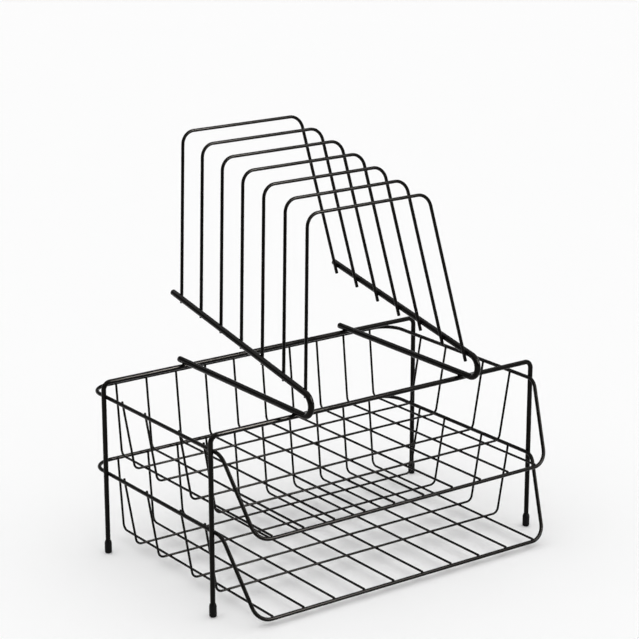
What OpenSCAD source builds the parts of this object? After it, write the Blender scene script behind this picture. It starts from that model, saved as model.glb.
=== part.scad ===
// Two-tier wire letter tray with a wire step sorter on top, all of bent and spot-welded wire.
// Millimetres, +Z up, +Y to the back. The origin is on the ground under the middle of the object.
// Wire places and bend radii are given to the wire's axis.

/* [Stand] */
// Distance between the left and right legs
leg_spacing = 348; // [320:1:400]
// Distance between the front and rear frames
frame_spacing = 172; // [150:1:190]
// Height of the frames' top bars
bar_height = 161; // [158:1:190]
// Diameter of the frame wire
frame_wire_d = 4.4; // [3.4:0.1:5]
// Bend radius of the frames' top corners
frame_bend_r = 6.5; // [5:0.5:10]

/* [Foot caps] */
// Height of a cap
cap_height = 12; // [9:0.5:16]
// Wall of a cap round the leg
cap_wall = 1; // [0.8:0.1:1.6]
// Thickness of a cap under the end of the leg
cap_floor = 2.5; // [1.5:0.1:4]
// Rounding of a cap's lower edge
cap_round = 1.5; // [0.8:0.1:2]
// Height of the sloping shoulder at a cap's mouth
cap_shoulder = 2.5; // [1:0.5:4]
// Thickness of a cap's lip at the top of its shoulder
cap_lip = 0.4; // [0.2:0.1:0.7]
// Radial clearance between a cap and its leg
cap_clearance = 0.05; // [0.02:0.01:0.1]

/* [Trays] */
// Height of the upper tray's rim
upper_rim_height = 146.5; // [140:0.5:148]
// Height from one tray to the next
tray_pitch = 72; // [70:0.5:74]
// Depth from the rim down to the cross wires of the floor
tray_depth = 64; // [56:0.5:66]
// Diameter of the rim wire
rim_wire_d = 3.4; // [2.8:0.1:4]
// Reach of the rim behind the rear frame
rim_back_reach = 33; // [26:1:36]
// Reach of the rim's level sides in front of the front frame, to the corner where they dip
rim_dip_reach = 9.5; // [9:0.5:14]
// Reach of the low front edge in front of the front frame
rim_front_reach = 43; // [36:1:52]
// Distance that each low front corner is drawn in from the rim's side
rim_front_inset = 13; // [6:1:18]
// Bend radius of the rim's back corners
rim_back_r = 20; // [12:0.5:26]
// Bend radius where the rim's sides dip
rim_dip_r = 12; // [8:0.5:14]
// Bend radius of the low front corners
rim_front_r = 16; // [12:0.5:22]

/* [Tray wires] */
// Diameter of the thin wires
thin_wire_d = 2.1; // [1.5:0.1:2.4]
// Number of deck wires in a tray
deck_wires = 10; // [6:1:12]
// Distance that the foot of the back wall is drawn in from the rim's back
back_inset = 10; // [6:0.5:14]
// Distance that the floor's edge is drawn in from the rim's side
floor_inset = 14; // [10:0.2:20]
// Bend radius between the walls and the floor
floor_bend_r = 6; // [4:0.5:9]
// Distance between the two inner cross wires
cross_inner_spacing = 55; // [40:1:70]
// Distance between the two outer cross wires
cross_outer_spacing = 131; // [110:1:140]
// Length of a thin wire past its weld on the rim's wall side
wall_wire_end = 1.2; // [1:0.1:4]
// Length of a deck wire past the low front edge
deck_wire_end = 1.3; // [1:0.1:4]

/* [Sorter] */
// Distance between the two rails
rail_spacing = 180; // [150:1:210]
// Diameter of the rail wire
rail_wire_d = 5.6; // [4.4:0.1:6]
// Reach of a rail's foot behind the rear frame
rail_rear_reach = 7; // [5:1:20]
// Reach of a rail's bend in front of the front frame
rail_front_reach = 25; // [18:1:34]
// Bend radius of a rail's front bend
rail_bend_r = 10.2; // [8:0.1:13]
// Rise of the rails' upper arms to the back, in degrees
sorter_slope = 11.2; // [6:0.2:16]
// Number of dividers
divider_count = 7; // [4:1:7]
// Distance between dividers along the rails
divider_pitch = 32.5; // [26:0.1:36]
// Distance from a rail's bend to the first divider
divider_first = 6; // [2:0.5:10]
// Length of a rail behind the last divider
rail_end = 8; // [5:1:14]
// Height of a divider above the rails' axes, along its own plane
divider_height = 144.5; // [110:0.5:170]
// Lean of the dividers to the back, in degrees
divider_lean = 10.7; // [4:0.1:16]
// Inward lean of a divider's legs, in degrees
divider_taper = 8.4; // [3:0.2:10]
// Length of a divider's legs below the rails' axes
divider_tail = 7.5; // [6:0.5:10]
// Bend radius of a divider's top corners
divider_bend_r = 13; // [8:0.5:20]
// Diameter of the divider wire
divider_wire_d = 3; // [2.4:0.1:3.6]

/* [Welds and ends] */
// Gap left between two wires at a weld
weld_gap = 0.05; // [0.01:0.01:0.1]
// Bevel on the cut ends of a wire
end_bevel = 0.4; // [0.2:0.1:0.6]
// Extra diameter of a wire in its bends
bend_swell = 0.04; // [0.02:0.01:0.1]
// Length of a straight that runs into its bend
bend_lap = 0.2; // [0.1:0.05:0.3]

/* [Hidden] */
$fn = 48;
wire_black = [0.07, 0.07, 0.08];
cap_black = [0.11, 0.11, 0.11];

// Axis distances at which two wires touch
leg_to_rim = (frame_wire_d + rim_wire_d) / 2 + weld_gap;
rim_to_thin = (rim_wire_d + thin_wire_d) / 2 + weld_gap;
thin_to_thin = thin_wire_d + weld_gap;
bar_to_rail = (frame_wire_d + rail_wire_d) / 2 + weld_gap;
rail_to_divider = (rail_wire_d + divider_wire_d) / 2 + weld_gap;

// Sorter measures, from the front frame backward
rail_z = bar_height + bar_to_rail;
rail_turn = 180 - sorter_slope;
rail_bend_y = rail_bend_r - rail_front_reach;
rail_corner_y = rail_bend_y - rail_bend_r * tan(rail_turn / 2);
arm_start_y = rail_bend_y - rail_bend_r * sin(sorter_slope);
arm_start_z = rail_z + rail_bend_r * (1 + cos(sorter_slope));
arm_length = divider_first + (divider_count - 1) * divider_pitch + rail_end;
divider_skew = cos(divider_taper) * sin(sorter_slope + divider_lean);
divider_face = cos(divider_taper) * cos(sorter_slope + divider_lean);
divider_half = rail_spacing / 2 - rail_to_divider * sqrt(1 - divider_skew * divider_skew) / divider_face;

// Whole depth of the object and the place of its frames in it
last_divider_y = arm_start_y + (arm_length - rail_end) * cos(sorter_slope);
sorter_rear = last_divider_y + divider_height * sin(divider_lean) + divider_wire_d / 2;
whole_rear = max(sorter_rear, frame_spacing + rim_back_reach + rim_wire_d / 2);
whole_front = -rim_front_reach - max(deck_wire_end, rim_wire_d / 2);
front_y = -(whole_front + whole_rear) / 2;
rear_y = front_y + frame_spacing;

// Tray measures, downward from the rim
rim_half = leg_spacing / 2 - leg_to_rim;
rim_back_y = rear_y + rim_back_reach;
rim_dip_y = front_y - rim_dip_reach;
rim_front_y = front_y - rim_front_reach;
rim_front_half = rim_half - rim_front_inset;
deck_drop = tray_depth + thin_to_thin;
rim_drop = deck_drop + rim_to_thin;
floor_half = rim_half - floor_inset;
rim_radii = [rim_back_r, rim_back_r, rim_dip_r, rim_front_r, rim_front_r, rim_dip_r];
tiers = ["upper", "lower"];
tier_heights = [upper_rim_height, upper_rim_height - tray_pitch];
cross_places = [-cross_outer_spacing, -cross_inner_spacing, cross_inner_spacing, cross_outer_spacing] / 2;

// Deck wires share the straight stretch of the low front edge and of the cross wires that lie on them
front_straight = rim_front_half - corner_trim(rim_points(0), rim_radii, 3);
floor_straight = floor_half - corner_trim(cross_points(0, 0), floor_bend_r, 1);
deck_half = min(front_straight, floor_straight);
deck_pitch = 2 * deck_half / (deck_wires - 1);

// Node names
cap_names = ["foot_cap_front_left", "foot_cap_front_right", "foot_cap_rear_left", "foot_cap_rear_right"];
rail_names = ["left_rail", "right_rail"];
sides = [-1, 1];
function deck_name(tier, i) = str(tier, "_deck_wire_", i);
function cross_name(tier, i) = str(tier, "_cross_wire_", i);
function divider_name(i) = str("divider_", i);

// Wire geometry: a path of corner points, each rounded to a bend radius
function unit(v) = v / norm(v);
function at(points, i) = points[(i + len(points)) % len(points)];
function in_list(value, list) = len([for (item = list) if (item == value) item]) > 0;
function radius_at(radii, i) = is_list(radii) ? radii[i] : radii;
function turn(before, corner, after) = acos(unit(corner - before) * unit(after - corner));
function corner_trim(points, radii, i) =
    radius_at(radii, i) * tan(turn(at(points, i - 1), points[i], at(points, i + 1)) / 2);

// Lean from upright of a wall wire that rises from its foot and lies against the rim
function wall_lean(inset, rise) = atan2(inset, rise) - asin(rim_to_thin / norm([inset, rise]));
function wall_length(inset, rise) =
    sqrt(inset * inset + rise * rise - rim_to_thin * rim_to_thin) + wall_wire_end;

// Corner points of each bent wire
function frame_points(y) = [
    [-leg_spacing / 2, y, cap_floor],
    [-leg_spacing / 2, y, bar_height],
    [leg_spacing / 2, y, bar_height],
    [leg_spacing / 2, y, cap_floor]
];

function rim_points(z) = [
    [-rim_half, rim_back_y, z],
    [rim_half, rim_back_y, z],
    [rim_half, rim_dip_y, z],
    [rim_front_half, rim_front_y, z - rim_drop],
    [-rim_front_half, rim_front_y, z - rim_drop],
    [-rim_half, rim_dip_y, z]
];

function deck_points(x, z) =
    let (
        lean = wall_lean(back_inset, deck_drop),
        rise = wall_length(back_inset, deck_drop),
        foot = [x, rim_back_y - back_inset, z - deck_drop]
    )
    [foot + rise * [0, sin(lean), cos(lean)], foot, [x, rim_front_y - deck_wire_end, z - deck_drop]];

function cross_points(y, z) =
    let (
        lean = wall_lean(floor_inset, tray_depth),
        rise = wall_length(floor_inset, tray_depth),
        foot = [floor_half, y, z - tray_depth],
        top = foot + rise * [sin(lean), 0, cos(lean)]
    )
    [[-top.x, y, top.z], [-foot.x, y, foot.z], foot, top];

function arm_point(x, along) =
    [x, front_y + arm_start_y + along * cos(sorter_slope), arm_start_z + along * sin(sorter_slope)];

function rail_points(x) = [
    [x, rear_y + rail_rear_reach, rail_z],
    [x, front_y + rail_corner_y, rail_z],
    arm_point(x, arm_length)
];

// Point on one leg of a divider, at a height above the rails' axes in the divider's plane
function divider_point(i, side, height) =
    arm_point(side * (divider_half - height * tan(divider_taper)), divider_first + (i - 1) * divider_pitch)
    + height * [0, sin(divider_lean), cos(divider_lean)];

function divider_points(i) = [
    divider_point(i, -1, -divider_tail),
    divider_point(i, -1, divider_height),
    divider_point(i, 1, divider_height),
    divider_point(i, 1, -divider_tail)
];

// Places its children with +Z along a direction
module aim(from, direction) {
    heading = unit(direction);
    translate(from)
        rotate([0, acos(heading.z), atan2(heading.y, heading.x)])
            children();
}

// Straight stretch of wire, with bevels on the ends that are cut ends
module rod(from, to, d, from_bevel, to_bevel) {
    r = d / 2;
    length = norm(to - from);
    aim(from, to - from)
        rotate_extrude()
            polygon([
                [0, 0],
                [r - from_bevel, 0],
                if (from_bevel > 0) [r, from_bevel],
                if (to_bevel > 0) [r, length - to_bevel],
                [r - to_bevel, length],
                [0, length]
            ]);
}

// Ring sector that rounds one corner of a wire, a hair fuller than the straights that run into it
module bend(before, corner, after, r, d) {
    into = unit(corner - before);
    angle = turn(before, corner, after);
    up = unit(cross(into, after - corner));
    inward = cross(up, into);
    centre = corner - into * r * tan(angle / 2) + inward * r;
    placement = [
        [-inward.x, into.x, up.x, centre.x],
        [-inward.y, into.y, up.y, centre.y],
        [-inward.z, into.z, up.z, centre.z],
        [0, 0, 0, 1]
    ];
    multmatrix(placement)
        rotate_extrude(angle = angle)
            translate([r, 0])
                circle(d = d + bend_swell);
}

module wire(points, radii, d, closed = false) {
    n = len(points);
    ends = closed ? [] : [0, n - 1];
    for (i = [0:n - 1])
        if (!in_list(i, ends))
            bend(at(points, i - 1), points[i], at(points, i + 1), radius_at(radii, i), d);
    for (i = [0:closed ? n - 1 : n - 2]) {
        next = (i + 1) % n;
        step = unit(points[next] - points[i]);
        starts = in_list(i, ends);
        stops = in_list(next, ends);
        from = starts ? points[i] : points[i] + step * (corner_trim(points, radii, i) - bend_lap);
        to = stops ? points[next] : points[next] - step * (corner_trim(points, radii, next) - bend_lap);
        rod(from, to, d, starts ? end_bevel : 0, stops ? end_bevel : 0);
    }
}

// Stand: two upside-down U frames
module frame(y) {
    color(wire_black)
        wire(frame_points(y), frame_bend_r, frame_wire_d);
}

// Cap with a blind bore, a rounded foot and a shoulder that slopes in to the leg
module foot_cap(x, y) {
    bore_r = frame_wire_d / 2 + cap_clearance;
    cap_r = bore_r + cap_wall;
    color(cap_black)
        translate([x, y, 0])
            difference() {
                union() {
                    cylinder(h = cap_round, r = cap_r - cap_round);
                    translate([0, 0, cap_round])
                        rotate_extrude()
                            translate([cap_r - cap_round, 0])
                                circle(r = cap_round);
                    translate([0, 0, cap_round])
                        cylinder(h = cap_height - cap_round - cap_shoulder, r = cap_r);
                    translate([0, 0, cap_height - cap_shoulder])
                        cylinder(h = cap_shoulder, r1 = cap_r, r2 = bore_r + cap_lip);
                }
                translate([0, 0, cap_floor])
                    cylinder(h = cap_height, r = bore_r);
            }
}

// Trays: a closed rim loop, deck wires from back to front and cross wires that lie across them
module rim(z) {
    color(wire_black)
        wire(rim_points(z), rim_radii, rim_wire_d, closed = true);
}

module deck_wire(i, z) {
    color(wire_black)
        wire(deck_points((i - 1) * deck_pitch - deck_half, z), floor_bend_r, thin_wire_d);
}

module cross_wire(i, z) {
    color(wire_black)
        wire(cross_points((front_y + rear_y) / 2 + cross_places[i - 1], z), floor_bend_r, thin_wire_d);
}

// Sorter: two folded rails that lie on the frames' bars, and the dividers between them
module rail(x) {
    color(wire_black)
        wire(rail_points(x), rail_bend_r, rail_wire_d);
}

module divider(i) {
    color(wire_black)
        wire(divider_points(i), divider_bend_r, divider_wire_d);
}

frame(front_y);  // front_frame
frame(rear_y);  // rear_frame
for (i = [0:3])
    foot_cap(sides[i % 2] * leg_spacing / 2, i < 2 ? front_y : rear_y);
for (t = [0:1])
    rim(tier_heights[t]);
for (t = [0:1], i = [1:deck_wires])
    deck_wire(i, tier_heights[t]);
for (t = [0:1], i = [1:len(cross_places)])
    cross_wire(i, tier_heights[t]);
for (i = [0:1])
    rail(sides[i] * rail_spacing / 2);
for (i = [1:divider_count])
    divider(i);
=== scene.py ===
# %% [markdown]
# # Dressing a two-tier wire tray with a step sorter
# The object is bent, spot-welded steel wire under a black baked coating, and it stands on four
# push-on feet. The frame holds its solids at their real size. This lesson draws each wire again as
# a swept tube, because a tube made here can have finely divided bends, ends that the coating has
# rounded over, and coordinates that run along the wire for the finish to follow. Then it adds what
# the solids leave out: the fillet of coating at every weld.

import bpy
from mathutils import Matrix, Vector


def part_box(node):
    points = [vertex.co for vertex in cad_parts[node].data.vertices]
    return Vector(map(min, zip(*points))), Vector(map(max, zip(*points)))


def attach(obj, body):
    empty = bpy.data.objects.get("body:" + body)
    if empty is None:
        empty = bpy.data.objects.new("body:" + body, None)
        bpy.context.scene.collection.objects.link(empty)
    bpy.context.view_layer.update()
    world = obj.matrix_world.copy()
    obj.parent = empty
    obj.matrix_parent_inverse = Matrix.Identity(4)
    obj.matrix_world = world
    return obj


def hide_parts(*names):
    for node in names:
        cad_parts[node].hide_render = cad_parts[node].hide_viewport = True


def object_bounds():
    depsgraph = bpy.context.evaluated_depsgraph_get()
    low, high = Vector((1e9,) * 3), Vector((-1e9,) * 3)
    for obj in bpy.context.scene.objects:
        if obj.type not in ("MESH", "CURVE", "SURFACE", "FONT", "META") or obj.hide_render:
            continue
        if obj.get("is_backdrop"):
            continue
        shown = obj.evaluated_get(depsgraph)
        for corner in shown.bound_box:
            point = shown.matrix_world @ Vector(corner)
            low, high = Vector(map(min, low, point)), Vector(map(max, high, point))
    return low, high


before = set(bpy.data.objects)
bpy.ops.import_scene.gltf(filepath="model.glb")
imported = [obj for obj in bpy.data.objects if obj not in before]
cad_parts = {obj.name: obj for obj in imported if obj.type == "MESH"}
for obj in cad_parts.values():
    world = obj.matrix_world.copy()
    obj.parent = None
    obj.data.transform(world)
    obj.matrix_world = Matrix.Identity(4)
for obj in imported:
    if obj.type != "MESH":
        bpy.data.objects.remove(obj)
cad_low, cad_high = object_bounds()
print("frame:", len(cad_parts), "nodes in", [round(v, 4) for v in cad_high - cad_low], "m")

# %% Tools and units
import math

import bmesh
import bpy
from mathutils import Matrix, Vector

MM = 0.001
BODY = "root"
scene = bpy.context.scene
scene.view_settings.view_transform = "Standard"
print("Blender", bpy.app.version_string, "view transform", scene.view_settings.view_transform)

# %% [markdown]
# ## Camera
# The photograph was taken from the front left, a little above, through a long lens. The place and
# the angles below were found by matching the straight wires in it. A long lens keeps the two trays
# nearly the same size, so the focal length matters as much as the place. Nothing is shifted and
# nothing is out of focus.

# %% Place the camera
PHOTO_WIDTH = 639
FOCAL_PIXELS = 2178.1
SENSOR_WIDTH = 36.0
CAMERA_PLACE = Vector((-1091.2, -1500.25, 761.8)) * MM
CAMERA_YAW = 35.933
CAMERA_PITCH = 16.539
CLIP_NEAR, CLIP_FAR = 0.1, 60.0

camera_data = bpy.data.cameras.new("photo_camera")
camera_data.sensor_width = SENSOR_WIDTH
camera_data.lens = FOCAL_PIXELS / PHOTO_WIDTH * SENSOR_WIDTH
camera_data.clip_start = CLIP_NEAR
camera_data.clip_end = CLIP_FAR
camera = bpy.data.objects.new("photo_camera", camera_data)
camera.location = CAMERA_PLACE
camera.rotation_euler = (math.radians(90 - CAMERA_PITCH), 0, -math.radians(CAMERA_YAW))
scene.collection.objects.link(camera)
scene.camera = camera
print("camera: lens", round(camera_data.lens, 1), "mm")

# %% [markdown]
# ## Wire sizes and where the wires run
# Five gauges of wire make the tray. Places come from the boxes of the frame's own nodes: the middle
# of a frame's box is where its legs stand, and the top of a rim's box is the height of that rim.
# What a box can't tell, such as a gauge or a bend radius, is written here once.

# %% Gauges and bends
FRAME_WIRE = 4.4 * MM
RIM_WIRE = 3.4 * MM
THIN_WIRE = 2.1 * MM
RAIL_WIRE = 5.6 * MM
DIVIDER_WIRE = 3.0 * MM
WELD_GAP = 0.05 * MM

FRAME_BEND = 6.5 * MM
RIM_BACK_BEND = 20 * MM
RIM_DIP_BEND = 12 * MM
RIM_FRONT_BEND = 16 * MM
FLOOR_BEND = 6 * MM
RAIL_BEND = 10.2 * MM
DIVIDER_BEND = 13 * MM


def touching(gauge_a, gauge_b):
    """Distance between the axes of two wires that are welded together."""
    return (gauge_a + gauge_b) / 2 + WELD_GAP


print("a rim's axis is", round(touching(FRAME_WIRE, RIM_WIRE) / MM, 2), "mm from a leg's")


# %% Places from the frame
def middle(node):
    """The middle of a node's box."""
    low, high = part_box(node)
    return (low + high) / 2


def numbers(prefix):
    """The numbers, from 1 up, of the nodes whose names start that way."""
    return range(1, 1 + sum(name.startswith(prefix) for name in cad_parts))


leg_foot_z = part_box("front_frame")[0].z
leg_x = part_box("front_frame")[1].x - FRAME_WIRE / 2
bar_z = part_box("front_frame")[1].z - FRAME_WIRE / 2
front_y = middle("front_frame").y
rear_y = middle("rear_frame").y
rail_x = middle("right_rail").x
rim_x = leg_x - touching(FRAME_WIRE, RIM_WIRE)
rim_back_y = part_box("upper_rim")[1].y - RIM_WIRE / 2
rim_front_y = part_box("upper_rim")[0].y + RIM_WIRE / 2
tiers = {tier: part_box(f"{tier}_rim")[1].z - RIM_WIRE / 2 for tier in ("upper", "lower")}
deck_numbers = numbers("upper_deck_wire_")
cross_numbers = numbers("upper_cross_wire_")
divider_numbers = numbers("divider_")
print("legs at x", round(leg_x, 4), "frames at y", round(front_y, 4), round(rear_y, 4))
print("rims at z", {tier: round(z, 4) for tier, z in tiers.items()})

# %% [markdown]
# ## A bent wire as a path
# A wire former feeds straight wire and bends it round a pin, so a wire's centre line is straight
# runs joined by true arcs. A Bezier curve could look much the same, but its bends drift off a true
# radius. Here each corner point is rounded by an arc, with a station every few degrees, and the
# straights get stations of their own.

# %% Round one corner
ARC_STEP = math.radians(7.5)
LEAST_ARC_STEPS = 3


def bend_stations(before, corner, after, radius):
    """Stations (point, heading) along the arc that rounds one corner."""
    heading = (corner - before).normalized()
    leaving = (after - corner).normalized()
    angle = heading.angle(leaving)
    inward = (leaving - heading * heading.dot(leaving)).normalized()
    centre = corner - heading * radius * math.tan(angle / 2) + inward * radius
    steps = max(LEAST_ARC_STEPS, round(angle / ARC_STEP))
    stations = []
    for step in range(steps + 1):
        turned = angle * step / steps
        out = heading * math.sin(turned) - inward * math.cos(turned)
        onward = heading * math.cos(turned) + inward * math.sin(turned)
        stations.append((centre + out * radius, onward))
    return stations


square_corner = (Vector((0, 0, 0)), Vector((0, 0, 1)), Vector((1, 0, 1)))
print("a square corner has", len(bend_stations(*square_corner, FRAME_BEND)), "stations")

# %% Join straights and bends
STRAIGHT_STEP = 14 * MM


def straight_stations(start, stop):
    """Stations strictly between two points of a straight run."""
    run = stop - start
    steps = max(1, round(run.length / STRAIGHT_STEP))
    heading = run.normalized()
    return [(start + run * (step / steps), heading) for step in range(1, steps)]


def wire_path(corners, bends, closed=False):
    """Stations along a wire with its corners rounded. One bend radius, or one for each corner."""
    count = len(corners)
    radii = bends if isinstance(bends, list) else [bends] * count
    inner = range(count) if closed else range(1, count - 1)
    arcs = [
        bend_stations(corners[i - 1], corners[i], corners[(i + 1) % count], radii[i])
        for i in inner
    ]
    stations = []
    for i, arc in enumerate(arcs):
        if i > 0:
            stations += straight_stations(stations[-1][0], arc[0][0])
        stations += arc
    if closed:
        return stations + straight_stations(stations[-1][0], stations[0][0])
    first, last = corners[0], corners[-1]
    lead_in = [(first, stations[0][1])] + straight_stations(first, stations[0][0])
    lead_out = straight_stations(stations[-1][0], last) + [(last, stations[-1][1])]
    return lead_in + stations + lead_out


corner_path = wire_path(square_corner, FRAME_BEND)
print("with a metre of wire on each side it has", len(corner_path), "stations")

# %% [markdown]
# ## Sweeping the tube
# A curve object with a round bevel could make a tube too, but its cut ends stay sharp and its map
# doesn't run in metres. So a ring of points is carried along the stations with hardly any spin:
# each ring's first direction is the last one's, laid flat on the new ring. Round a closed rim that
# would come back slightly turned, so the turn is shared out over the whole loop. A cut end is
# rounded as a baked coating rounds it, by rings that shrink over a small edge radius. The tube also
# gets a UV map, with the turn round the wire in U and the metres along it in V.

# %% Round the cut ends
END_EDGE = 0.42 * MM
END_STEPS = 4


def rounded_ends(stations, radius):
    """Stations with a radius each, closing in over a rounded edge at both ends."""
    turns = [math.pi / 2 * step / END_STEPS for step in range(END_STEPS + 1)]

    def edge(point, heading, inward):
        rings = []
        for turn in turns:
            place = point + inward * END_EDGE * (1 - math.cos(turn))
            rings.append((place, heading, radius - END_EDGE * (1 - math.sin(turn))))
        return rings

    first_point, first_heading = stations[0]
    last_point, last_heading = stations[-1]
    opening = edge(first_point, first_heading, first_heading)
    closing = edge(last_point, last_heading, -last_heading)
    between = [(point, heading, radius) for point, heading in stations[1:-1]]
    return opening + between + closing[::-1]


print("a cut end is rounded over", round(END_EDGE / MM, 2), "mm in", END_STEPS, "steps")


# %% Carry a direction along the wire
def carried_normals(headings, closed):
    """One direction across the wire for each heading, carried along with hardly any spin."""
    normal = headings[0].orthogonal().normalized()
    normals = []
    for heading in headings:
        normal = (normal - heading * normal.dot(heading)).normalized()
        normals.append(normal)
    if closed:
        home = headings[0]
        back = (normal - home * normal.dot(home)).normalized()
        spin = math.atan2(back.cross(normals[0]).dot(home), back.dot(normals[0]))
        count = len(headings)
        normals = [
            Matrix.Rotation(spin * i / count, 3, heading) @ across
            for i, (heading, across) in enumerate(zip(headings, normals))
        ]
    return normals


corner_headings = [heading for _, heading in corner_path]
carried = carried_normals(corner_headings, closed=False)
true_turn = corner_headings[0].rotation_difference(corner_headings[-1])
corner_spin = math.degrees((true_turn @ carried[0]).angle(carried[-1]))
print("a direction carried round the square corner spins by", round(corner_spin, 1), "degrees")


# %% Make an object of a mesh
def mesh_object(name, shape):
    """A new object in the scene, with the bmesh as its mesh."""
    mesh = bpy.data.meshes.new(name)
    shape.to_mesh(mesh)
    shape.free()
    made = bpy.data.objects.new(name, mesh)
    scene.collection.objects.link(made)
    return made


def finished_piece(name, shape):
    """A smooth piece that rides on the one body, from a bmesh whose faces look outwards."""
    for face in shape.faces:
        face.smooth = True
    piece = mesh_object(name, shape)
    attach(piece, BODY)
    return piece


print("every piece will ride on the body", BODY)

# %% Sweep a tube along a path
END_DOME = 0.06 * MM
RUN_MAP = "wire_run"


def sweep_tube(name, stations, gauge, sides, closed=False):
    """A tube along the stations, as a piece with smooth faces and a map along its run."""
    radius = gauge / 2
    if closed:
        rings = [(point, heading, radius) for point, heading in stations]
    else:
        rings = rounded_ends(stations, radius)
    normals = carried_normals([heading for _, heading, _ in rings], closed)
    spokes = [2 * math.pi * k / sides for k in range(sides)]
    tube = bmesh.new()
    run_map = tube.loops.layers.uv.new(RUN_MAP)
    rows, runs, run, last = [], [], 0.0, rings[0][0]
    for (point, heading, ring_radius), across in zip(rings, normals):
        run += (point - last).length
        last = point
        runs.append(run)
        up = heading.cross(across)
        outward = [across * math.cos(a) + up * math.sin(a) for a in spokes]
        rows.append([tube.verts.new(point + out * ring_radius) for out in outward])
    if closed:
        runs.append(run + (rings[0][0] - last).length)
        rows.append(rows[0])
    for i in range(len(rows) - 1):
        for k in range(sides):
            turn = (k + 1) % sides
            quad = (rows[i][k], rows[i][turn], rows[i + 1][turn], rows[i + 1][k])
            corners = ((k, runs[i]), (k + 1, runs[i]), (k + 1, runs[i + 1]), (k, runs[i + 1]))
            for loop, (side, along) in zip(tube.faces.new(quad).loops, corners):
                loop[run_map].uv = (side / sides, along)
    if not closed:
        ends = ((rows[0], rings[0], -1), (rows[-1], rings[-1], 1))
        for row, (point, heading, _), sign in ends:
            tip = tube.verts.new(point + heading * sign * END_DOME)
            for k in range(sides):
                tube.faces.new((row[k], row[(k + 1) % sides], tip)[::sign])
    return finished_piece(name, tube)


print("every tube will carry the map", RUN_MAP)

# %% [markdown]
# ## Finish: effects that the materials share
# Baked powder is never quite flat. It dries with a low, soft ripple, called orange peel, over finer
# grain, and its tone drifts a little from place to place. Drawn wire also keeps faint lines from
# its die, which run along it under the coating. Hands leave smoother patches, and dust settles on
# what faces up. Each effect is a node group with its sizes in millimetres, so a thick wire and a
# thin one can share it with their own values.

# %% Node helpers
def add_node(tree, kind, inputs=None, **settings):
    """A node of that kind, with plain values or links set on its named inputs."""
    node = tree.nodes.new(kind)
    for name, value in settings.items():
        setattr(node, name, value)
    for key, value in (inputs or {}).items():
        if isinstance(value, bpy.types.NodeSocket):
            tree.links.new(value, node.inputs[key])
        else:
            node.inputs[key].default_value = value
    return node


def calculate(tree, operation, *values):
    """The result of a Math node on one to three values or links."""
    inputs = dict(enumerate(values))
    return add_node(tree, "ShaderNodeMath", inputs, operation=operation).outputs[0]


def remap(tree, value, low, high, to_low=0.0, to_high=1.0):
    """A value from one range, eased into another and held there."""
    inputs = {
        "Value": value, "From Min": low, "From Max": high, "To Min": to_low, "To Max": to_high
    }
    eased = add_node(tree, "ShaderNodeMapRange", inputs, interpolation_type="SMOOTHSTEP")
    return eased.outputs["Result"]


print("node helpers: add_node, calculate, remap")

# %% Group helpers
MM_PER_M = 1000.0


def new_group(name, inputs, outputs):
    """An empty shader node group with float sockets of those names and start values."""
    group = bpy.data.node_groups.new(name, "ShaderNodeTree")
    for socket, value in inputs.items():
        made = group.interface.new_socket(socket, in_out="INPUT", socket_type="NodeSocketFloat")
        made.default_value = value
    for socket in outputs:
        group.interface.new_socket(socket, in_out="OUTPUT", socket_type="NodeSocketFloat")
    return group, group.nodes.new("NodeGroupInput"), group.nodes.new("NodeGroupOutput")


def noise_at(tree, size_mm, detail):
    """Noise in the object's own metres, with features of about that size."""
    place = add_node(tree, "ShaderNodeTexCoord").outputs["Object"]
    scale = calculate(tree, "DIVIDE", MM_PER_M, size_mm)
    inputs = {"Vector": place, "Scale": scale, "Detail": detail}
    return add_node(tree, "ShaderNodeTexNoise", inputs).outputs["Fac"]


print("group helpers: new_group, noise_at")

# %% Orange peel
PEEL_START = {"Peel Size": 1.8, "Grain Size": 0.35}
GRAIN_SHARE = 0.22
DRIFT_SIZE = 34.0
DRIFT_RANGE = (0.3, 0.7)

peel, peel_in, peel_out = new_group("orange_peel", PEEL_START, ["Height", "Drift"])
peel_ripple = noise_at(peel, peel_in.outputs["Peel Size"], detail=1.0)
peel_grain = noise_at(peel, peel_in.outputs["Grain Size"], detail=2.0)
peel_height = calculate(peel, "MULTIPLY_ADD", peel_grain, GRAIN_SHARE, peel_ripple)
peel_drift = remap(peel, noise_at(peel, DRIFT_SIZE, detail=3.0), *DRIFT_RANGE)
peel.links.new(peel_height, peel_out.inputs["Height"])
peel.links.new(peel_drift, peel_out.inputs["Drift"])
print("group", peel.name, "with", len(peel.nodes), "nodes")

# %% Die lines
LINES_ALONG = 9.0
LINES_DETAIL = 2.0

lines, lines_in, lines_out = new_group("die_lines", {"Lines Round": 7.0}, ["Height"])
run_uv = add_node(lines, "ShaderNodeUVMap", uv_map=RUN_MAP).outputs["UV"]
run_split = add_node(lines, "ShaderNodeSeparateXYZ", {0: run_uv})
wire_turn = calculate(lines, "MULTIPLY", run_split.outputs["X"], 2 * math.pi)
round_wire = {
    "X": calculate(lines, "COSINE", wire_turn),
    "Y": calculate(lines, "SINE", wire_turn),
    "Z": calculate(lines, "MULTIPLY", run_split.outputs["Y"], LINES_ALONG),
}
streak_inputs = {
    "Vector": add_node(lines, "ShaderNodeCombineXYZ", round_wire).outputs[0],
    "Scale": lines_in.outputs["Lines Round"],
    "Detail": LINES_DETAIL,
}
streaks = add_node(lines, "ShaderNodeTexNoise", streak_inputs)
lines.links.new(streaks.outputs["Fac"], lines_out.inputs["Height"])
print("group", lines.name, "with", len(lines.nodes), "nodes")

# %% Handled patches
HANDLED_RANGE = (0.48, 0.68)

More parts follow.
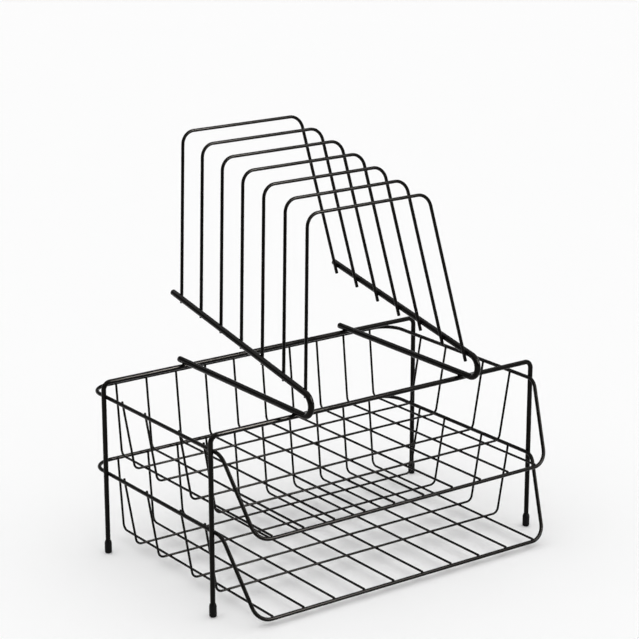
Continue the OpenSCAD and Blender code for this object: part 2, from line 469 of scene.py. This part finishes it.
handled, handled_in, handled_out = new_group("handled_patches", {"Patch Size": 22.0}, ["Mask"])
patches = noise_at(handled, handled_in.outputs["Patch Size"], detail=4.0)
handled.links.new(remap(handled, patches, *HANDLED_RANGE), handled_out.inputs["Mask"])
print("group", handled.name, "with", len(handled.nodes), "nodes")

# %% Settled dust
UPWARD_RANGE = (0.45, 1.0)
SPECK_SIZE, SPECK_RANGE, SPECK_LEAST = 0.9, (0.42, 0.75), 0.15
FILM_SIZE, FILM_RANGE, FILM_LEAST = 16.0, (0.35, 0.7), 0.2

dust, dust_in, dust_out = new_group("settled_dust", {"Amount": 0.2}, ["Mask"])
surface = add_node(dust, "ShaderNodeNewGeometry").outputs["Normal"]
facing = add_node(dust, "ShaderNodeSeparateXYZ", {0: surface})
upward = remap(dust, facing.outputs["Z"], *UPWARD_RANGE)
specks = remap(dust, noise_at(dust, SPECK_SIZE, detail=5.0), *SPECK_RANGE, SPECK_LEAST)
film = remap(dust, noise_at(dust, FILM_SIZE, detail=3.0), *FILM_RANGE, FILM_LEAST)
settled = calculate(dust, "MULTIPLY", calculate(dust, "MULTIPLY", upward, specks), film)
dust_mask = calculate(dust, "MULTIPLY", settled, dust_in.outputs["Amount"])
dust.links.new(dust_mask, dust_out.inputs["Mask"])
print("group", dust.name, "with", len(dust.nodes), "nodes")

# %% [markdown]
# ## Finish: the materials
# The coating is near black and half glossy, so most of what shows is its highlights. One material
# could serve every wire, but a ripple that suits a thick wire looks coarse on a thin one. So one
# function makes four coats, each with its own ripple, gloss, die lines and dust. The colour drifts
# between two blacks, and the gloss between the coat's own roughness and a smoother, handled one.
# The specular level is low, because the wire in the photograph stays nearly black beside white. The
# foot caps are soft vinyl, which is dull and finely pebbled.

# %% Material helpers
MIX_COLOUR_A, MIX_COLOUR_B, MIX_COLOUR_RESULT = 6, 7, 2


def blend(tree, share, colour_a, colour_b):
    """Mixes two colours by a share."""
    inputs = {"Factor": share, MIX_COLOUR_A: colour_a, MIX_COLOUR_B: colour_b}
    return add_node(tree, "ShaderNodeMix", inputs, data_type="RGBA").outputs[MIX_COLOUR_RESULT]


def place_group(tree, group, **values):
    """Places a node group with its own values; an underscore in a name stands for a space."""
    node = add_node(tree, "ShaderNodeGroup", node_tree=group)
    for name, value in values.items():
        node.inputs[name.replace("_", " ")].default_value = value
    return node


def blank_material(name):
    """A material with only a Principled shader and its output."""
    material = bpy.data.materials.new(name)
    material.use_nodes = True
    shader = material.node_tree.nodes["Principled BSDF"]
    return material, material.node_tree, shader


def add_bump(tree, shader, height, strength, depth):
    """Lets a height tilt the shader's normal."""
    inputs = {"Strength": strength, "Distance": depth, "Height": height}
    bump = add_node(tree, "ShaderNodeBump", inputs)
    tree.links.new(bump.outputs["Normal"], shader.inputs["Normal"])


print("material helpers: blend, place_group, blank_material, add_bump")

# %% Coated wire
COAT_BLACK = (0.0018, 0.0017, 0.0016, 1)
COAT_DRIFT = (0.0036, 0.0033, 0.0030, 1)
DUST_TINT = (0.10, 0.096, 0.09, 1)
COAT_SPECULAR = 0.085
COAT_WARMTH = (1.0, 0.93, 0.85, 1)
COAT_BUMP = {"strength": 0.5, "depth": 0.03 * MM}
HANDLED_SMOOTHER = 0.05
DUST_DULLER = 0.35


def set_gloss(shader):
    """The plain gloss values that all the coats share."""
    shader.inputs["Specular IOR Level"].default_value = COAT_SPECULAR
    shader.inputs["Specular Tint"].default_value = COAT_WARMTH


def coated_wire(use, peel_size, roughness, line_depth, dust_amount):
    """Black baked coating on drawn wire."""
    material, tree, shader = blank_material(f"black_coat_{use}")
    ripple = place_group(tree, peel, Peel_Size=peel_size)
    marks = place_group(tree, lines).outputs["Height"]
    hands = place_group(tree, handled).outputs["Mask"]
    fallen = place_group(tree, dust, Amount=dust_amount).outputs["Mask"]
    coat = blend(tree, ripple.outputs["Drift"], COAT_BLACK, COAT_DRIFT)
    tree.links.new(blend(tree, fallen, coat, DUST_TINT), shader.inputs["Base Color"])
    smoothed = calculate(tree, "MULTIPLY_ADD", hands, -HANDLED_SMOOTHER, roughness)
    dulled = calculate(tree, "MULTIPLY_ADD", fallen, DUST_DULLER, smoothed)
    tree.links.new(dulled, shader.inputs["Roughness"])
    height = calculate(tree, "MULTIPLY_ADD", marks, line_depth, ripple.outputs["Height"])
    add_bump(tree, shader, height, **COAT_BUMP)
    set_gloss(shader)
    return material


print("the coats share a specular level of", COAT_SPECULAR)

# %% Four coats
thick_coat = coated_wire(
    "thick_wire", peel_size=2.2, roughness=0.18, line_depth=0.35, dust_amount=0.05
)
rim_coat = coated_wire(
    "rim_wire", peel_size=1.7, roughness=0.27, line_depth=0.45, dust_amount=0.05
)
thin_coat = coated_wire(
    "thin_wire", peel_size=1.1, roughness=0.27, line_depth=0.6, dust_amount=0.06
)
divider_coat = coated_wire(
    "divider", peel_size=1.6, roughness=0.22, line_depth=0.45, dust_amount=0.03
)
print("coats:", thick_coat.name, rim_coat.name, thin_coat.name, divider_coat.name)

# %% Pooled coating at the welds
POOL_PEEL, POOL_GRAIN = 1.0, 0.5
POOL_ROUGHNESS, POOL_ROUGHER = 0.18, 0.08
POOL_BUMP = {"strength": 0.6, "depth": 0.05 * MM}


def pooled_coat(name):
    """The same black where it has run together in a corner: smooth, and a little fuller."""
    material, tree, shader = blank_material(name)
    ripple = place_group(tree, peel, Peel_Size=POOL_PEEL, Grain_Size=POOL_GRAIN)
    drift = ripple.outputs["Drift"]
    tree.links.new(blend(tree, drift, COAT_BLACK, COAT_DRIFT), shader.inputs["Base Color"])
    gloss = calculate(tree, "MULTIPLY_ADD", drift, POOL_ROUGHER, POOL_ROUGHNESS)
    tree.links.new(gloss, shader.inputs["Roughness"])
    add_bump(tree, shader, ripple.outputs["Height"], **POOL_BUMP)
    set_gloss(shader)
    return material


weld_coat = pooled_coat("black_coat_at_welds")
print("coat of the welds:", weld_coat.name)

# %% Vinyl of the foot caps
CAP_BLACK = (0.0020, 0.0020, 0.0020, 1)
CAP_SCUFFED = (0.013, 0.0127, 0.0124, 1)
CAP_SPECULAR = 0.10
CAP_PEBBLE, CAP_GRAIN, CAP_PATCH = 0.55, 0.16, 4.0
CAP_ROUGHNESS, CAP_ROUGHER = 0.40, 0.12
CAP_BUMP = {"strength": 0.7, "depth": 0.05 * MM}
SCUFF_HEIGHT = 2.2 * MM


def cap_vinyl(name):
    """Dull, finely pebbled vinyl, scuffed greyer towards the ground."""
    material, tree, shader = blank_material(name)
    pebble = place_group(tree, peel, Peel_Size=CAP_PEBBLE, Grain_Size=CAP_GRAIN)
    hands = place_group(tree, handled, Patch_Size=CAP_PATCH)
    place = add_node(tree, "ShaderNodeTexCoord").outputs["Object"]
    height = add_node(tree, "ShaderNodeSeparateXYZ", {0: place}).outputs["Z"]
    near_ground = remap(tree, height, 0.0, SCUFF_HEIGHT, 1.0, 0.0)
    scuffed = calculate(tree, "MULTIPLY", near_ground, hands.outputs["Mask"])
    tree.links.new(blend(tree, scuffed, CAP_BLACK, CAP_SCUFFED), shader.inputs["Base Color"])
    dull = calculate(tree, "MULTIPLY_ADD", pebble.outputs["Drift"], CAP_ROUGHER, CAP_ROUGHNESS)
    tree.links.new(dull, shader.inputs["Roughness"])
    add_bump(tree, shader, pebble.outputs["Height"], **CAP_BUMP)
    shader.inputs["Specular IOR Level"].default_value = CAP_SPECULAR
    return material


vinyl = cap_vinyl("black_vinyl_cap")
print("vinyl:", vinyl.name, "with", len(vinyl.node_tree.nodes), "nodes")

# %% [markdown]
# ## Placing one wire
# Every wire of the product is one piece of its own. It stands for its node of the frame, which then
# isn't shown, so its box is measured against the node's box. The worst miss is printed at the end.
# It should be under a tenth of a millimetre: the ends are rounded here, and the solids are a hair
# fuller in their bends.

# %% Make a wire and stand it for its node
misses = {}


def box_miss(piece, node):
    """How far a piece's box is from its node's box, at worst."""
    corners = [Vector(corner) for corner in piece.bound_box]
    low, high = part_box(node)
    return max(
        max(abs(min(c[i] for c in corners) - low[i]) for i in range(3)),
        max(abs(max(c[i] for c in corners) - high[i]) for i in range(3)),
    )


def stand_for(piece, node, finish):
    """Gives a piece its finish and slot, and stands it for its node."""
    piece.data.materials.append(finish)
    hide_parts(node)
    misses[node] = box_miss(piece, node)


def coat_wire(node, corners, bends, gauge, sides, coat, closed=False):
    """Sweeps one wire, gives it its coat and stands it for its node."""
    path = wire_path(corners, bends, closed)
    piece = sweep_tube(f"coated_{node}", path, gauge, sides, closed)
    stand_for(piece, node, coat)


# %% [markdown]
# ## The stand
# Two frames carry everything. Each is one thick wire bent into an upside-down U, and its cut ends
# go down into the foot caps. Thick wire shows its roundness in the highlight, so it gets more sides
# than thin wire.

# %% Front and rear frames
THICK_SIDES = 28


def frame_corners(y):
    """Corners of a frame, from its left foot over the bar to its right foot."""
    return [
        Vector((-leg_x, y, leg_foot_z)),
        Vector((-leg_x, y, bar_z)),
        Vector((leg_x, y, bar_z)),
        Vector((leg_x, y, leg_foot_z)),
    ]


for node, y in (("front_frame", front_y), ("rear_frame", rear_y)):
    coat_wire(node, frame_corners(y), FRAME_BEND, FRAME_WIRE, THICK_SIDES, thick_coat)
print("frames made, worst miss", round(max(misses.values()) / MM, 3), "mm")

# %% [markdown]
# ## The foot caps
# A push-on cap is moulded vinyl: a well rounded foot, a plain wall, a shoulder that draws in to a
# thin lip, and a bore that grips the leg. Such a round piece is best turned from its profile, as on
# a lathe. The profile starts under the foot and goes up the outside, over the lip and down the
# bore, so that the mesh is closed.

# %% Outline of a cap
CAP_FOOT_ROUND = 1.5 * MM
CAP_SHOULDER = 2.5 * MM
CAP_LIP = 0.4 * MM
CAP_CLEARANCE = 0.05 * MM
CAP_GRIP_GAP = 0.03 * MM
FOOT_FLAT_SHARE = 0.3
WALL_SHARES = (0.33, 0.67, 1)
SHOULDER_SHARES = (0.2, 0.4, 0.6, 0.8)
SHOULDER_EASE = 1.5
ARC_POINTS = 7


def arc_profile(centre, radius, start, stop):
    """Points (out, up) on an arc, with its angles in degrees."""
    turns = [
        math.radians(start + (stop - start) * k / (ARC_POINTS - 1)) for k in range(ARC_POINTS)
    ]
    return [(centre[0] + radius * math.cos(a), centre[1] + radius * math.sin(a)) for a in turns]


def cap_profile(radius, height):
    """The outline of a cap from the middle of its foot round to the middle of its bore."""
    grip = FRAME_WIRE / 2 + CAP_GRIP_GAP
    lip_out = FRAME_WIRE / 2 + CAP_CLEARANCE + CAP_LIP
    lip_round = (lip_out - grip) / 2
    wall_top = height - CAP_SHOULDER
    climb = CAP_SHOULDER - lip_round
    foot_centre = (radius - CAP_FOOT_ROUND, CAP_FOOT_ROUND)
    foot = [(0, 0), (radius * FOOT_FLAT_SHARE, 0)]
    foot += arc_profile(foot_centre, CAP_FOOT_ROUND, -90, 0)
    wall = [
        (radius, CAP_FOOT_ROUND + share * (wall_top - CAP_FOOT_ROUND)) for share in WALL_SHARES
    ]
    shoulder = [
        (radius - (radius - lip_out) * share**SHOULDER_EASE, wall_top + share * climb)
        for share in SHOULDER_SHARES
    ]
    lip = arc_profile((lip_out - lip_round, height - lip_round), lip_round, 0, 180)
    bore = [(grip, height / 2), (grip, leg_foot_z), (0, leg_foot_z)]
    return foot + wall + shoulder + lip + bore


print("a cap's bore clears its leg by", round(CAP_GRIP_GAP / MM, 2), "mm all round")

# %% Turn the caps
CAP_NODES = [
    "foot_cap_front_left", "foot_cap_front_right", "foot_cap_rear_left", "foot_cap_rear_right"
]
CAP_SIDES = 40


def turn_profile(shape, profile, axis, sides):
    """Turns a profile of (out, up) points about an upright axis that stands at a point."""
    full_turn = [2 * math.pi * k / sides for k in range(sides)]
    rows = []
    for out, up in profile:
        spokes = full_turn if out > 0 else [0]
        places = [Vector((out * math.cos(a), out * math.sin(a), up)) for a in spokes]
        rows.append([shape.verts.new(axis + place) for place in places])
    for inner, outer in zip(rows, rows[1:]):
        for k in range(sides):
            turn = (k + 1) % sides
            ring = [inner[k % len(inner)], inner[turn % len(inner)]]
            ring += [outer[turn % len(outer)], outer[k % len(outer)]]
            shape.faces.new(list(dict.fromkeys(ring)))


def turned_cap(node):
    """A cap turned about its leg's axis."""
    low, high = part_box(node)
    foot = Vector(((low.x + high.x) / 2, (low.y + high.y) / 2, low.z))
    cap = bmesh.new()
    turn_profile(cap, cap_profile((high.x - low.x) / 2, high.z - low.z), foot, CAP_SIDES)
    piece = finished_piece(f"vinyl_{node}", cap)
    stand_for(piece, node, vinyl)
    return piece


caps = [turned_cap(node) for node in CAP_NODES]
print("caps:", len(caps), "of", len(caps[0].data.polygons), "faces each")

# %% [markdown]
# ## The trays
# A tray is three kinds of wire. The rim is one closed loop that runs level round the back and
# sides, dips in front of the legs and comes together in the low front edge. Deck wires hang from
# its back, run forward as the floor's lower layer and end on top of the front edge. Cross wires
# hang from its sides and lie across the deck wires. Walls lean: a wall wire rises from its foot and
# lies against the inner side of the rim, so its lean follows from the distance that its foot is
# drawn in.

# %% Rims
RIM_SIDES = 22
RIM_DIP_REACH = 9.5 * MM
RIM_FRONT_INSET = 13 * MM
RIM_BENDS = [RIM_BACK_BEND] * 2 + [RIM_DIP_BEND] + [RIM_FRONT_BEND] * 2 + [RIM_DIP_BEND]
TRAY_DEPTH = 64 * MM

deck_drop = TRAY_DEPTH + touching(THIN_WIRE, THIN_WIRE)
rim_drop = deck_drop + touching(RIM_WIRE, THIN_WIRE)
rim_dip_y = front_y - RIM_DIP_REACH
rim_front_x = rim_x - RIM_FRONT_INSET


def rim_corners(z):
    """Corners of a rim, from its back left one round to where its left side dips."""
    return [
        Vector((-rim_x, rim_back_y, z)),
        Vector((rim_x, rim_back_y, z)),
        Vector((rim_x, rim_dip_y, z)),
        Vector((rim_front_x, rim_front_y, z - rim_drop)),
        Vector((-rim_front_x, rim_front_y, z - rim_drop)),
        Vector((-rim_x, rim_dip_y, z)),
    ]


for tier, z in tiers.items():
    node = f"{tier}_rim"
    coat_wire(node, rim_corners(z), RIM_BENDS, RIM_WIRE, RIM_SIDES, rim_coat, closed=True)
print("rims made, upper front edge at", round((tiers["upper"] - rim_drop) / MM, 2), "mm")

# %% Paths of the deck wires and cross wires
BACK_INSET = 10 * MM
FLOOR_INSET = 14 * MM
WALL_WIRE_END = 1.2 * MM
DECK_WIRE_END = 1.3 * MM


def wall_rise(inset, drop):
    """Lean of a wall wire from upright, and its length from its foot to its end past the rim."""
    clear = touching(RIM_WIRE, THIN_WIRE)
    reach = math.hypot(inset, drop)
    lean = math.atan2(inset, drop) - math.asin(clear / reach)
    return lean, math.sqrt(reach * reach - clear * clear) + WALL_WIRE_END


def deck_corners(x, z):
    """Corners of a deck wire, from its top at the rim's back to its end at the front edge."""
    lean, rise = wall_rise(BACK_INSET, deck_drop)
    foot = Vector((x, rim_back_y - BACK_INSET, z - deck_drop))
    top = foot + rise * Vector((0, math.sin(lean), math.cos(lean)))
    return [top, foot, Vector((x, rim_front_y - DECK_WIRE_END, z - deck_drop))]


def cross_corners(y, z):
    """Corners of a cross wire, from its top at the rim's left side to that at its right."""
    lean, rise = wall_rise(FLOOR_INSET, TRAY_DEPTH)
    foot = Vector((rim_x - FLOOR_INSET, y, z - TRAY_DEPTH))
    top = foot + rise * Vector((math.sin(lean), 0, math.cos(lean)))
    return [Vector((-top.x, y, top.z)), Vector((-foot.x, y, foot.z)), foot, top]


print("back wall leans", round(math.degrees(wall_rise(BACK_INSET, deck_drop)[0]), 1), "degrees")

# %% Deck wires and cross wires
THIN_SIDES = 18


def thin_wire(node, corners):
    """One of the trays' thin wires."""
    coat_wire(node, corners, FLOOR_BEND, THIN_WIRE, THIN_SIDES, thin_coat)


for tier, z in tiers.items():
    for number in deck_numbers:
        node = f"{tier}_deck_wire_{number}"
        thin_wire(node, deck_corners(middle(node).x, z))
    for number in cross_numbers:
        node = f"{tier}_cross_wire_{number}"
        thin_wire(node, cross_corners(middle(node).y, z))
print("a tray has", len(deck_numbers), "deck wires and", len(cross_numbers), "cross wires")

# %% [markdown]
# ## The step sorter
# Two rails of the thickest wire lie across the frames' bars. Each folds back on itself at the front
# and rises to the back as an arm with a free end. The dividers are tapered upside-down U wires,
# welded to the inner sides of the arms, with their cut ends showing below. They lean back while the
# arms climb, so the touching distance is measured across two lines that are skew, and the half
# width at the arms follows from it.

# %% Rails
RAIL_FRONT_REACH = 25 * MM
RAIL_REAR_REACH = 7 * MM
SORTER_SLOPE = math.radians(11.2)
DIVIDER_FIRST = 6 * MM
DIVIDER_PITCH = 32.5 * MM
ARM_END = 8 * MM

rail_z = bar_z + touching(FRAME_WIRE, RAIL_WIRE)
rail_bend_y = front_y + RAIL_BEND - RAIL_FRONT_REACH
arm_start_y = rail_bend_y - RAIL_BEND * math.sin(SORTER_SLOPE)
arm_start_z = rail_z + RAIL_BEND * (1 + math.cos(SORTER_SLOPE))
arm_start = Vector((0, arm_start_y, arm_start_z))
arm_heading = Vector((0, math.cos(SORTER_SLOPE), math.sin(SORTER_SLOPE)))
arm_length = DIVIDER_FIRST + (len(divider_numbers) - 1) * DIVIDER_PITCH + ARM_END


def on_arm(x, along):
    """A point on the axis of an arm, at a distance from its front bend."""
    return Vector((x, 0, 0)) + arm_start + arm_heading * along


def rail_corners(x):
    """Corners of a rail, from its rear foot to the front bend and up to the arm's free end."""
    nose_y = rail_bend_y - RAIL_BEND * math.tan((math.pi - SORTER_SLOPE) / 2)
    rear_foot = Vector((x, rear_y + RAIL_REAR_REACH, rail_z))
    return [rear_foot, Vector((x, nose_y, rail_z)), on_arm(x, arm_length)]


for node, x in (("left_rail", -rail_x), ("right_rail", rail_x)):
    coat_wire(node, rail_corners(x), RAIL_BEND, RAIL_WIRE, THICK_SIDES, thick_coat)
print("arms are", round(arm_length / MM, 1), "mm long")

# %% Dividers
DIVIDER_SIDES = 22
DIVIDER_HEIGHT = 144.5 * MM
DIVIDER_TAIL = 7.5 * MM
DIVIDER_LEAN = math.radians(10.7)
DIVIDER_TAPER = math.radians(8.4)

skew = math.cos(DIVIDER_TAPER) * math.sin(SORTER_SLOPE + DIVIDER_LEAN)
facing_rail = math.cos(DIVIDER_TAPER) * math.cos(SORTER_SLOPE + DIVIDER_LEAN)
rail_clear = touching(RAIL_WIRE, DIVIDER_WIRE)
divider_x = rail_x - rail_clear * math.sqrt(1 - skew * skew) / facing_rail
divider_up = Vector((0, math.sin(DIVIDER_LEAN), math.cos(DIVIDER_LEAN)))


def divider_leg(number, side, height):
    """A point on one leg of a divider, at a height above the arm's axis in the divider's plane."""
    x = side * (divider_x - height * math.tan(DIVIDER_TAPER))
    return on_arm(x, DIVIDER_FIRST + (number - 1) * DIVIDER_PITCH) + divider_up * height


def divider_corners(number):
    """Corners of a divider, from its left tail over the top to its right tail."""
    ends = ((-1, -DIVIDER_TAIL), (-1, DIVIDER_HEIGHT), (1, DIVIDER_HEIGHT), (1, -DIVIDER_TAIL))
    return [divider_leg(number, side, height) for side, height in ends]


for number in divider_numbers:
    corners = divider_corners(number)
    node = f"divider_{number}"
    coat_wire(node, corners, DIVIDER_BEND, DIVIDER_WIRE, DIVIDER_SIDES, divider_coat)
worst = max(misses, key=misses.get)
print("all wires made, worst miss", round(misses[worst] / MM, 3), "mm on", worst)

# %% [markdown]
# ## Welds
# Where two wires cross they are spot welded, and the coating then pools in the narrow corner round
# the weld. Seen close, that makes each crossing one flowing shape. A boolean union would give a
# hard crease there. So each weld gets a small waisted collar: round the point of contact, it
# reaches out in each direction to where the two surfaces have parted by the throat of the fillet,
# and between them it draws in like a drop held between two rods.

# %% Where two wires meet and part
FILLET_THROAT = 0.42
REACH_LIMIT = 0.98
LEAST_ACROSS = 1e-6
HALVINGS = 40


def nearest_points(point_a, along_a, point_b, along_b):
    """The two points, one on each line, where the lines come nearest."""
    apart = point_a - point_b
    dot = along_a.dot(along_b)
    base = 1 - dot * dot
    shift_a = (dot * along_b.dot(apart) - along_a.dot(apart)) / base
    shift_b = (along_b.dot(apart) - dot * along_a.dot(apart)) / base
    return point_a + along_a * shift_a, point_b + along_b * shift_b


def sag(radius, offset):
    """How far a round wire's surface falls away at an offset across it."""
    return radius - math.sqrt(max(0.0, radius * radius - offset * offset))


def parting_reach(radius_a, radius_b, across_a, across_b, throat):
    """Distance from the contact at which two crossing wires have parted by the throat."""
    edge_a, edge_b = radius_a / max(across_a, LEAST_ACROSS), radius_b / max(across_b, LEAST_ACROSS)
    near, far = 0.0, REACH_LIMIT * min(edge_a, edge_b)
    for _ in range(HALVINGS):
        half = (near + far) / 2
        if sag(radius_a, half * across_a) + sag(radius_b, half * across_b) < throat:
            near = half
        else:
            far = half
    return near


thin_radius = THIN_WIRE / 2
thin_reach = parting_reach(thin_radius, thin_radius, 0, 1, FILLET_THROAT * thin_radius)
print("where two thin wires cross, a fillet reaches", round(thin_reach / MM, 2), "mm along them")

# %% A fillet between two wires
FILLET_SIDES = 20
FILLET_RINGS = 6
FILLET_WAIST = 0.30
FILLET_BURIED = 0.06 * MM


def weld_fillet(shape, wire_a, wire_b):
    """Adds the fillet between two wires, each given as a point, a heading and a gauge."""
    (point_a, along_a, gauge_a), (point_b, along_b, gauge_b) = wire_a, wire_b
    radius_a, radius_b = gauge_a / 2, gauge_b / 2
    foot, head = nearest_points(point_a, along_a, point_b, along_b)
    normal = (head - foot).normalized()
    gap = (head - foot).length - radius_a - radius_b
    contact = foot + normal * (radius_a + gap / 2)
    side = normal.cross(along_a)
    throat = FILLET_THROAT * min(radius_a, radius_b)
    columns = []
    for k in range(FILLET_SIDES):
        turn = 2 * math.pi * k / FILLET_SIDES
        out = along_a * math.cos(turn) + side * math.sin(turn)
        across_a, across_b = out.cross(along_a).length, out.cross(along_b).length
        reach = parting_reach(radius_a, radius_b, across_a, across_b, throat)
        low = -gap / 2 - sag(radius_a, reach * across_a) - FILLET_BURIED
        high = gap / 2 + sag(radius_b, reach * across_b) + FILLET_BURIED
        column = []
        for ring in range(FILLET_RINGS):
            share = ring / (FILLET_RINGS - 1)
            drawn = 1 - FILLET_WAIST * math.sin(math.pi * share)
            place = contact + out * reach * drawn + normal * (low + share * (high - low))
            column.append(shape.verts.new(place))
        columns.append(column)
    for k in range(FILLET_SIDES):
        here, beside = columns[k], columns[(k + 1) % FILLET_SIDES]
        for ring in range(FILLET_RINGS - 1):
            shape.faces.new((here[ring], beside[ring], beside[ring + 1], here[ring + 1]))
    shape.faces.new([column[0] for column in columns][::-1])
    shape.faces.new([column[-1] for column in columns])


print("a fillet has", FILLET_SIDES * FILLET_RINGS, "points")


# %% A set of welds as one piece
def weld_set(name, pairs):
    """One piece that holds the fillets of a list of crossings."""
    shape = bmesh.new()
    for wire_a, wire_b in pairs:
        weld_fillet(shape, wire_a, wire_b)
    piece = finished_piece(name, shape)
    piece.data.materials.append(weld_coat)
    print(name, "has", len(pairs), "welds")


# %% Welds of the trays
SIDEWAYS = Vector((1, 0, 0))
BACKWARD = Vector((0, 1, 0))
UPWARD = Vector((0, 0, 1))


def tray_welds(tier, z):
    """Every crossing in one tray, and of its rim with the four legs."""
    deck_places = [middle(f"{tier}_deck_wire_{number}").x for number in deck_numbers]
    cross_places = [middle(f"{tier}_cross_wire_{number}").y for number in cross_numbers]
    front_edge = (Vector((0, rim_front_y, z - rim_drop)), SIDEWAYS, RIM_WIRE)
    back_run = (Vector((0, rim_back_y, z)), SIDEWAYS, RIM_WIRE)
    cross_runs = [(Vector((0, y, z - TRAY_DEPTH)), SIDEWAYS, THIN_WIRE) for y in cross_places]
    pairs = []
    for x in deck_places:
        top, foot, _ = deck_corners(x, z)
        floor_run = (foot, BACKWARD, THIN_WIRE)
        pairs.append((front_edge, floor_run))
        pairs.append((back_run, (foot, (top - foot).normalized(), THIN_WIRE)))
        pairs += [(cross_run, floor_run) for cross_run in cross_runs]
    for side in (-1, 1):
        side_run = (Vector((side * rim_x, 0, z)), BACKWARD, RIM_WIRE)
        for y in cross_places:
            foot, top = cross_corners(y, z)[2:]
            rise = (top - foot).normalized()
            wall_foot = Vector((side * foot.x, y, foot.z))
            pairs.append((side_run, (wall_foot, Vector((side * rise.x, 0, rise.z)), THIN_WIRE)))
        for y in (front_y, rear_y):
            pairs.append(((Vector((side * leg_x, y, 0)), UPWARD, FRAME_WIRE), side_run))
    return pairs


for tier, z in tiers.items():
    weld_set(f"{tier}_tray_welds", tray_welds(tier, z))


# %% Welds of the sorter
def sorter_welds():
    """Rails on the frames' bars, and divider legs on the rails' arms."""
    pairs = []
    for side in (-1, 1):
        foot_run = (Vector((side * rail_x, 0, rail_z)), BACKWARD, RAIL_WIRE)
        for y in (front_y, rear_y):
            pairs.append(((Vector((0, y, bar_z)), SIDEWAYS, FRAME_WIRE), foot_run))
        arm = (on_arm(side * rail_x, 0), arm_heading, RAIL_WIRE)
        for number in divider_numbers:
            low, high = (divider_leg(number, side, height) for height in (0, DIVIDER_HEIGHT))
            pairs.append((arm, (low, (high - low).normalized(), DIVIDER_WIRE)))
    return pairs


weld_set("sorter_welds", sorter_welds())

# %% [markdown]
# ## Studio
# Black gloss is photographed in a dim room, because the wire mirrors all that stands round it. So
# the room itself is dark, the object stands on a plain white floor, and one very broad lamp
# overhead lights both softly and evenly. A tall softbox at the front right is there for the gloss
# alone: it draws the bright line along the wires that run from side to side. It stands near, so the
# line is strongest at their left ends and fades to the right. The floor curves up into a low wall
# far away, a cove, so that no edge of it shows.

# %% Floor with a cove
FLOOR_REACH = 24.0
COVE = 3.0
FLOOR_BELOW = 0.05 * MM
FLOOR_SIDES = 64
FLOOR_WHITE = (0.975, 0.975, 0.975, 1)
FLOOR_ROUGHNESS = 0.9
FLOOR_SPECULAR = 0.0

floor_shape = bmesh.new()
floor_profile = arc_profile((FLOOR_REACH, COVE), COVE, 0, -90) + [(0, 0)]
turn_profile(floor_shape, floor_profile, Vector((0, 0, -FLOOR_BELOW)), FLOOR_SIDES)
floor = mesh_object("studio_floor", floor_shape)
floor_material, _, floor_shader = blank_material("studio_floor_white")
floor_shader.inputs["Base Color"].default_value = FLOOR_WHITE
floor_shader.inputs["Roughness"].default_value = FLOOR_ROUGHNESS
floor_shader.inputs["Specular IOR Level"].default_value = FLOOR_SPECULAR
floor.data.materials.append(floor_material)
floor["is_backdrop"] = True
print("floor:", len(floor.data.polygons), "faces,", FLOOR_REACH, "m to the cove")

# %% Lamps
OVERHEAD_LEVEL = 2.55
OVERHEAD_SPREAD = 110
SOFTBOX_TURNS = {"azimuth": 38.5, "elevation": 33.3, "roll": -23.6}
SOFTBOX_PANEL = {"width": 0.24, "height": 1.7, "glow": 105}
SOFTBOX_DISTANCE = 3.0
SOFTBOX_AIM = Vector((-150, -80, 120)) * MM


def add_lamp(name, kind):
    """A lamp of that kind at the origin, shining straight down."""
    lamp = bpy.data.objects.new(name, bpy.data.lights.new(name, kind))
    scene.collection.objects.link(lamp)
    return lamp


def softbox(name, azimuth, elevation, roll, width, height, glow):
    """A lit panel for the gloss alone. Azimuth 0 is in front, and positive is to the right."""
    lamp = add_lamp(name, "AREA")
    facing = Matrix.Identity(3)
    for angle, axis in ((azimuth, "Z"), (90 - elevation, "X"), (roll, "Z")):
        facing = facing @ Matrix.Rotation(math.radians(angle), 3, axis)
    lamp.rotation_euler = facing.to_euler()
    lamp.location = SOFTBOX_AIM + facing @ Vector((0, 0, SOFTBOX_DISTANCE))
    lamp.data.shape = "RECTANGLE"
    lamp.data.size = width
    lamp.data.size_y = height
    lamp.data.energy = glow * math.pi * width * height
    lamp.visible_camera = False
    lamp.visible_diffuse = False


overhead = add_lamp("overhead_lamp", "SUN")
overhead.data.energy = OVERHEAD_LEVEL
overhead.data.angle = math.radians(OVERHEAD_SPREAD)
softbox("front_softbox", **SOFTBOX_TURNS, **SOFTBOX_PANEL)
print("lamps: one overhead and one softbox", SOFTBOX_DISTANCE, "m away")

# %% Room light
ROOM_LIGHT = 0.18
ROOM_WHITE = (1, 1, 1, 1)

room = bpy.data.worlds.new("dim_room")
room.use_nodes = True
scene.world = room
background = room.node_tree.nodes["Background"]
background.inputs["Color"].default_value = ROOM_WHITE
background.inputs["Strength"].default_value = ROOM_LIGHT
print("room light", ROOM_LIGHT)

# %% [markdown]
# ## Measure and finish
# The dressed object has to keep the size of the frame.

# %% Write the sizes
low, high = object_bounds()
growth = [max(cad_low[i] - low[i], high[i] - cad_high[i]) / MM for i in range(3)]
print("visual box stands proud of the frame by", [round(g, 3) for g in growth], "mm")
